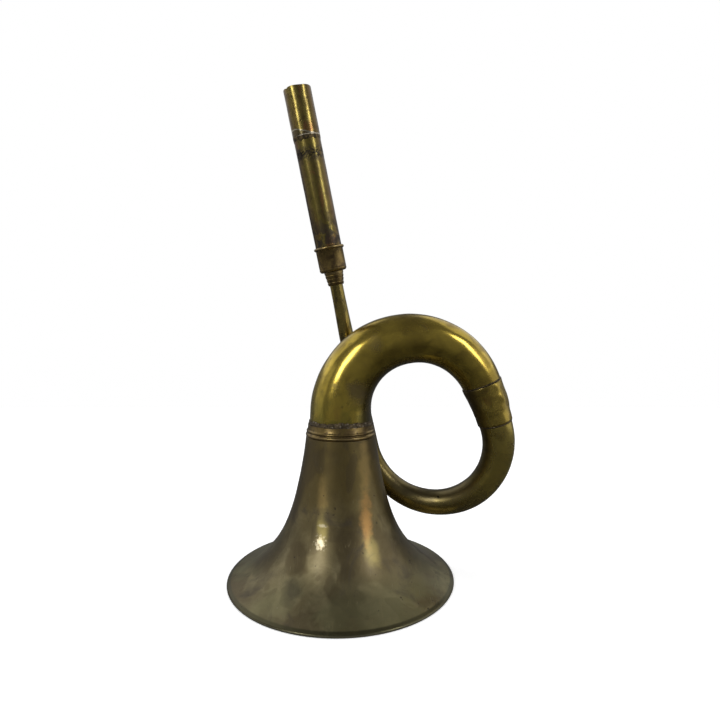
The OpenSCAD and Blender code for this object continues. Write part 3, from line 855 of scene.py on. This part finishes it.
reed_brass = clean_brass()
refinish("reed_block", reed_brass)
refinish("tongue_clamp", reed_brass)
refinish("clamp_screws", reed_brass)
refinish("reed_tongue", rolled_bronze())

# ----------------------------------------
# Barrel. A straight length of 3/4 inch brass tube over the reed. Heat from soldering turned it
# red and brown in places, and it has fine cracks near its top and black blotches at its foot.
# ----------------------------------------

barrel_station = cup_station + cup_length + 0.1 * MM
barrel_length = 77.9 * MM
barrel_radius = 9.55 * MM
barrel_bore = 8.8 * MM
seam_station = barrel_station + barrel_length
mouth_radius = 9.8 * MM
mouth_bore = 9.1 * MM
mouth_length = 32.5 * MM


def tube_outline(outer, bore, length, chamfer, steps):
    """Outline of a plain tube with eased edges and enough rings along it to be dented."""
    outside = [(outer, chamfer + (length - 2 * chamfer) * i / steps) for i in range(steps + 1)]
    top = [(outer - chamfer, length), (bore + chamfer, length), (bore, length - chamfer)]
    return [(outer - chamfer, 0.0)] + outside + top + [(bore, chamfer), (bore + chamfer, 0.0)]


def barrel_mesh():
    outline = tube_outline(barrel_radius, barrel_bore, barrel_length, 0.12 * MM, 60)
    return knocked(turned(outline, 120, on_lead(barrel_station)), 0.07 * MM, 9 * MM, 6.0)


def heat_stained(name, golden):
    """Handled brass tube with copper-red heat stains; golden is how much clean yellow is left."""
    metal = Finish(name, "unbent")
    run = metal.along("Z")
    mottle = metal.clouds(150.0, 6.0, 0.6, 0.7)
    smooth = metal.clouds(170.0, 2.0, 0.4)
    drawn = metal.clouds(1.0, 3.0, 0.5, at=metal.stretched((420.0, 420.0, 18.0)))
    tarnish = (mottle * 0.5 + drawn * 0.5).between(0.40, 0.64)
    warm = tuple(a + (b - a) * golden for a, b in zip((0.185, 0.146, 0.036), (0.33, 0.258, 0.066)))
    colour = metal.mixed(tarnish, warm, (0.120, 0.088, 0.029))
    red = metal.clouds(1.0, 5.0, 0.6, 0.8, at=metal.stretched((85.0, 85.0, 26.0))).between(0.52, 0.68)
    colour = metal.mixed(red * 0.75, colour, (0.29, 0.120, 0.052))
    # painted shade: the tube's left and right sides, darkened to brown
    painted_side_shade = metal.size(metal.along("X")).between(0.0045, 0.0085)
    colour = metal.mixed(painted_side_shade * 0.8, colour, (0.082, 0.050, 0.024))
    blotch = metal.clouds(140.0, 5.0, 0.65, 1.0)
    return metal, run, smooth, drawn, tarnish, colour, blotch


def barrel_finish():
    metal, run, smooth, drawn, tarnish, colour, blotch = heat_stained("barrel_patina", 0.25)
    foot = (1.0 - run.between(0.006, 0.030)) * blotch.between(0.42, 0.52)
    head = run.between(0.056, 0.064) * (1.0 - run.between(0.068, 0.071)) * blotch.between(0.45, 0.53)
    soot = (foot + head).held()
    colour = metal.mixed(soot * 0.85, colour, (0.050, 0.040, 0.032))
    crack_at = metal.clouds(240.0, 3.0, 0.6, 1.5)
    near_crack = metal.patch((0.0, 0.0, 0.0648), (0.5, 0.5, 0.0042))
    crack = (1.0 - metal.from_middle(crack_at).between(0.015, 0.07)) * near_crack
    colour = metal.mixed(crack * 0.85, colour, (0.02, 0.016, 0.012))
    pits = metal.clouds(420.0, 2.0, 0.5).between(0.68, 0.74)
    colour = metal.mixed(pits * 0.6, colour, (0.04, 0.03, 0.02))
    rough = 0.29 + tarnish * 0.12 + soot * 0.20 + crack * 0.2
    height = drawn * 0.05 + smooth * 0.6 - pits * 0.2 - crack * 1.6 - soot * 0.4 * blotch
    return metal.surface(colour, rough, 0.95, height, 0.00010, 0.08)


sheet_piece("barrel_tube", barrel_mesh(), "mouth_tube", "barrel", barrel_finish())

# ----------------------------------------
# Tenon and coupling. Two short inner sleeves: the tenon is soldered in the barrel's foot and
# pushes into the reed cup, and the coupling joins the barrel to the end sleeve.
# ----------------------------------------

inner_radius_out = 8.75 * MM
inner_bore = 8.1 * MM
tenon_half = 12 * MM
coupling_half = 8 * MM


def inner_sleeve(station, half):
    outline = tube_outline(inner_radius_out, inner_bore, 2 * half, 0.15 * MM, 6)
    return turned(outline, 96, on_lead(station - half))


sleeve_brass = dark_brass("sleeve_brass", inner_radius_out, 1.5)
tenon = inner_sleeve(barrel_station - 0.1 * MM, tenon_half)
sheet_piece("barrel_tenon", tenon, "mouth_tube", "tenon", sleeve_brass)
coupling = inner_sleeve(seam_station, coupling_half)
sheet_piece("barrel_coupling", coupling, "mouth_tube", "seam_coupling", sleeve_brass)

# ----------------------------------------
# End sleeve. The open end of the horn, where a bulb or a mouthpiece goes. It is a hair wider
# than the barrel, its edge is uneven, and it has a small nick where something once caught it.
# ----------------------------------------

towards_front = turn_to_lead.to_3x3().inverted() @ Vector((0, -1, 0))
front_angle = math.atan2(towards_front.y, towards_front.x)
nick_angle = math.radians(-46)
nick_half = math.radians(5.5)
nick_depth = 0.6 * MM
worn_down = 0.26 * MM


def end_sleeve_mesh():
    step = 8.15 * MM
    outline = tube_outline(mouth_radius, mouth_bore, mouth_length, 0.14 * MM, 40)
    outline = outline[:-2] + [(mouth_bore, step), (barrel_bore, step)]
    outline += [(barrel_bore, 0.14 * MM), (barrel_bore + 0.14 * MM, 0.0)]
    bm = turned(outline, 160, on_lead(seam_station + 0.05 * MM))
    unbent = bm.verts.layers.float_vector["unbent"]
    for vert in bm.verts:
        flat = vert[unbent]
        near_top = max(0.0, 1.0 - (mouth_length - flat.z) / (2.6 * MM))
        angle = math.atan2(flat.y, flat.x) - front_angle
        wave = 0.16 * MM * math.sin(2 * angle + 0.6) + 0.10 * MM * math.sin(5 * angle)
        nick_off = math.remainder(angle - nick_angle, 2 * math.pi) / nick_half
        nick = nick_depth * math.exp(-nick_off * nick_off)
        vert.co -= lead_dir * near_top * (worn_down + wave + nick)
    return knocked(bm, 0.10 * MM, 8 * MM, 3.0)


def mouth_finish():
    metal, run, smooth, drawn, tarnish, colour, blotch = heat_stained("mouth_patina", 1.0)
    soot = blotch.between(0.60, 0.68)
    low = (1.0 - run.between(0.0004, 0.0016)) * blotch.between(0.40, 0.55)
    colour = metal.mixed((soot * 0.6 + low).held(), colour, (0.07, 0.05, 0.035))
    # solder smeared up the front left of the foot, with a pale line along its upper edge
    leftward = 1.0 - metal.along("X").between(-0.010, 0.008)
    above = run - leftward * 0.0050 - (blotch - 0.5) * 0.0020
    front = 1.0 - metal.along("Y").between(-0.001, 0.004)
    smeared = (1.0 - above.between(-0.0002, 0.0002)) * front
    colour = metal.mixed(smeared * 0.75, colour, (0.105, 0.085, 0.048))
    pale = (above.between(-0.0008, -0.0003) - above.between(0.0000, 0.0003)).held()
    colour = metal.mixed(pale * front * 0.8, colour, (0.46, 0.42, 0.31))
    pits = metal.clouds(420.0, 2.0, 0.5).between(0.67, 0.73)
    colour = metal.mixed(pits * 0.6, colour, (0.05, 0.035, 0.02))
    rough = 0.22 + tarnish * 0.12 + soot * 0.2
    height = drawn * 0.05 + smooth * 0.8 - pits * 0.1
    return metal.surface(colour, rough, 0.96, height, 0.00016, 0.08)


mouth_brass = mouth_finish()
sheet_piece("end_sleeve_tube", end_sleeve_mesh(), "mouth_tube", "end_sleeve", mouth_brass)


def seam_solder_mesh():
    outline = [(barrel_radius - 0.05 * MM, -3.2 * MM), (barrel_radius + 0.13 * MM, -2.9 * MM)]
    outline += [(barrel_radius + 0.18 * MM, -1.8 * MM), (barrel_radius + 0.24 * MM, -0.9 * MM)]
    outline += [(mouth_radius + 0.10 * MM, -0.45 * MM), (mouth_radius + 0.02 * MM, -0.05 * MM)]
    outline += [(barrel_radius - 0.05 * MM, -0.05 * MM)]
    bm = turned(outline, 180)
    for vert in bm.verts:
        below = min(1.0, max(0.0, (-vert.co.z - 0.9 * MM) / (1.5 * MM)))
        ragged = noise.noise(vert.co * Vector((1, 1, 0)) / (2.6 * MM))
        ragged += 0.4 * noise.noise(vert.co / MM)
        vert.co.z += 1.4 * MM * below * ragged
    bmesh.ops.transform(bm, matrix=on_lead(seam_station + 0.05 * MM), verts=bm.verts)
    return knocked(bm, 0.14 * MM, 1.8 * MM, 5.0)


def seam_finish():
    """Black scorched flux low down, and a pale line of clean solder under the end sleeve's edge."""
    metal = Finish("seam_solder", "unbent")
    run = metal.along("Z")
    lumps = metal.clouds(420.0, 5.0, 0.6, 0.6)
    rightward = metal.along("X").between(-0.009, 0.002)
    line = (run + (lumps - 0.5) * 0.0012).between(-0.0009, -0.0006) * rightward
    colour = metal.mixed(lumps.between(0.40, 0.64), (0.030, 0.024, 0.016), (0.150, 0.105, 0.045))
    colour = metal.mixed(line * 0.75, colour, (0.56, 0.50, 0.38))
    return metal.surface(colour, 0.50 - line * 0.1, 0.85, lumps, 0.00020)


flux = seam_finish()
sheet_piece("seam_solder_run", seam_solder_mesh(), "mouth_tube", "seam_solder", flux, 75.0)

# ----------------------------------------
# Studio. A white table in a dim white room, two tall soft lights to the left and right of the
# camera, broad ones at the sides and behind, one overhead, and the camera 37 cm in front.
# ----------------------------------------


def white_table():
    bm = bmesh.new()
    bmesh.ops.create_grid(bm, x_segments=1, y_segments=1, size=0.8)
    mesh = bpy.data.meshes.new("table")
    bm.to_mesh(mesh)
    bm.free()
    paint = Finish("white_table", "object")
    sockets = {"Base Color": (0.90, 0.90, 0.90), "Roughness": 0.8}
    sockets |= {"Emission Color": (1.0, 1.0, 1.0), "Emission Strength": 0.50}
    for name, value in sockets.items():
        paint.feed(paint.shader.inputs[name], value)
    mesh.materials.append(paint.material)
    table = bpy.data.objects.new("table", mesh)
    bpy.context.scene.collection.objects.link(table)
    table.visible_glossy = False


def soft_light(name, azimuth, height, distance, size, power):
    """A soft light that looks at the horn's middle; azimuth 0 is at the camera and 90 to the right."""
    turn = math.radians(azimuth)
    lamp = bpy.data.lights.new(name, "AREA")
    lamp.shape = "RECTANGLE"
    lamp.size, lamp.size_y = size
    lamp.energy = power
    holder = bpy.data.objects.new(name, lamp)
    holder.location = (distance * math.sin(turn), -distance * math.cos(turn), height)
    aim = Vector((0.02, 0.0, 0.17)) - holder.location
    holder.rotation_euler = aim.to_track_quat("-Z", "Y").to_euler()
    bpy.context.scene.collection.objects.link(holder)
    return holder


white_table()
soft_light("left_light", -39, 0.72, 1.1, (0.26, 0.62), 3.6)
soft_light("right_light", 55, 0.70, 1.1, (0.24, 0.62), 3.0)
soft_light("left_wall", -125, 1.10, 1.2, (1.6, 1.3), 4.4)
soft_light("right_wall", 125, 1.10, 1.2, (1.6, 1.3), 4.4)
soft_light("left_fill", -92, 0.42, 1.3, (1.2, 0.9), 1.1)
soft_light("right_fill", 88, 0.42, 1.3, (1.2, 0.9), 2.0)
soft_light("top_light", 180, 1.5, 0.35, (1.2, 0.8), 7).visible_glossy = False

scene = bpy.context.scene
scene.view_settings.view_transform = "Standard"


class Room(Finish):
    """The world's own nodes: white where the camera looks, and a dim room for the metal to mirror."""

    def __init__(self, world):
        world.use_nodes = True
        self.tree = world.node_tree
        self.tree.nodes.remove(self.tree.nodes["Background"])


scene.world = bpy.data.worlds.new("studio")
room = Room(scene.world)
upwards = room.node("SeparateXYZ", {0: room.node("TexCoord", out="Generated")}, out="Z")
darker_below = {"From Min": -0.60, "From Max": 0.0, "To Min": 0.05, "To Max": 0.18}
glow = room.node("MapRange", {"Value": upwards, **darker_below})
walls = room.node("Background", {"Color": (0.95, 0.97, 1.0), "Strength": glow})
backdrop = room.node("Background", {"Color": (1.0, 1.0, 1.0)})
seen = room.node("LightPath", out="Is Camera Ray")
shown = room.node("MixShader", {"Fac": seen, 1: walls, 2: backdrop})
room.feed(room.tree.nodes["World Output"].inputs["Surface"], shown)

lens = bpy.data.cameras.new("camera")
lens.sensor_width = 36.0     # these two are in millimetres
lens.lens = 26.5
lens.clip_start = 0.02
camera = bpy.data.objects.new("camera", lens)
camera.location = (0.01359, -0.37210, 0.17670)
camera.rotation_euler = (math.radians(90 - 3.38), 0.0, 0.0)
scene.collection.objects.link(camera)
scene.camera = camera
